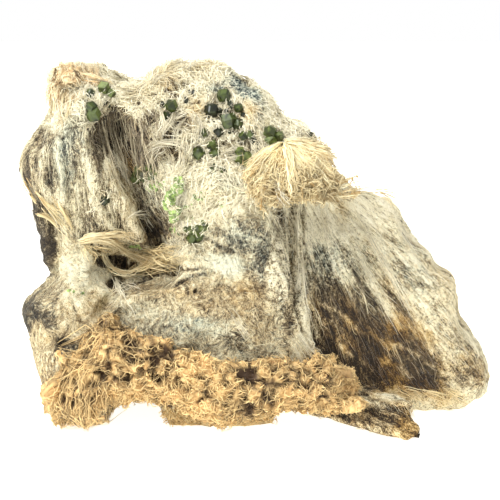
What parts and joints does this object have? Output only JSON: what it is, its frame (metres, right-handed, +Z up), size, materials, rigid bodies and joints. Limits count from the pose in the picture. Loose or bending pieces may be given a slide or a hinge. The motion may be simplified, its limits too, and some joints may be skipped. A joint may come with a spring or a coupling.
{
  "type": "demantoid garnet on fibrous matrix",
  "caption": "Green demantoid garnet crystals on a standing lump of grey and cream serpentine laced with chrysotile fibre, ochre fibre mat in front.",
  "frame": {"origin": "on the base, under the middle of the whole piece", "axes": "+Z up, +X to the right of someone who faces the crystals, -Y towards that person"},
  "size_m": [0.0934, 0.0416, 0.0732],
  "materials": {
    "matrix": "fibrous serpentine under pale felt, matt, with darker grey-brown striped stretches",
    "ochre_fibre": "crumbly matted chrysotile fibre stained ochre, matt",
    "golden_fibre": "combed chrysotile fibre, faintly silky",
    "cream_fibre": "clean pale chrysotile fibre, faintly silky",
    "lime_crust": "fine granular green garnet, slightly glassy",
    "demantoid": "green garnet, glassy to adamantine, partly see-through"
  },
  "bodies": {
    "root": {"matrix": "matrix", "ochre_fibre_mat": "ochre_fibre", "shoulder_fibre_tuft": "golden_fibre", "knob_fibre_tuft": "ochre_fibre", "cavity_fibre_bands": "cream_fibre", "lime_green_crust": "lime_crust", "knob_garnet_bright": "demantoid", "knob_garnet_middle": "demantoid", "knob_garnet_pair": "demantoid", "gully_head_garnet": "demantoid", "skyline_garnet": "demantoid", "black_garnet": "demantoid", "field_garnet_upper": "demantoid", "field_garnet_large": "demantoid", "field_garnet_dark": "demantoid", "field_garnet_left": "demantoid", "field_garnet_right": "demantoid", "lower_garnet_left": "demantoid", "lower_garnet_middle": "demantoid", "lower_garnet_bright": "demantoid", "lower_garnet_flat": "demantoid", "shoulder_garnet_bright": "demantoid", "edge_garnet": "demantoid", "slab_garnet": "demantoid", "gully_garnet": "demantoid", "ledge_garnet": "demantoid"}
  },
  "joints": []
}
